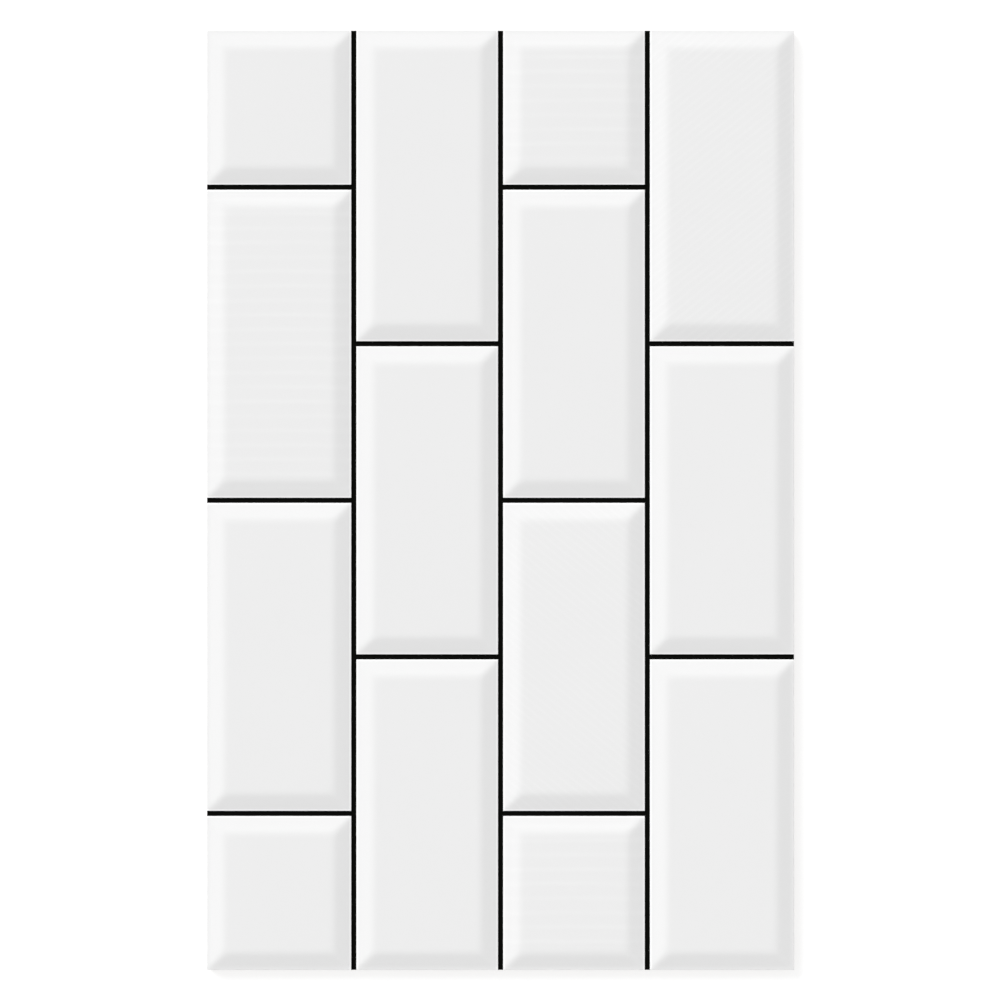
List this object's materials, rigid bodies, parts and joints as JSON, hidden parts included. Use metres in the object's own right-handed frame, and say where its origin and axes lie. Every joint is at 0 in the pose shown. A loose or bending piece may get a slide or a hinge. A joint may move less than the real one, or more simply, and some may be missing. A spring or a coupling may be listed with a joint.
{
  "type": "ceramic wall tile",
  "caption": "Rectangular glazed ceramic wall tile, its white face pressed as an upright running bond of bevelled bricks with thin black joints, its back ribbed for adhesive.",
  "frame": {"origin": "under the middle of the tile, on the plane of the ribs of its back", "axes": "+Z out of the glazed face, +Y along the tile's length in line with the brick columns, +X across its width"},
  "size_m": [0.25, 0.4, 0.008],
  "materials": {
    "white_glaze": "glossy white glaze, with matt black ink in the pressed joints and a bare biscuit back and sides"
  },
  "bodies": {
    "root": {"wall_tile": "white_glaze"}
  },
  "joints": []
}
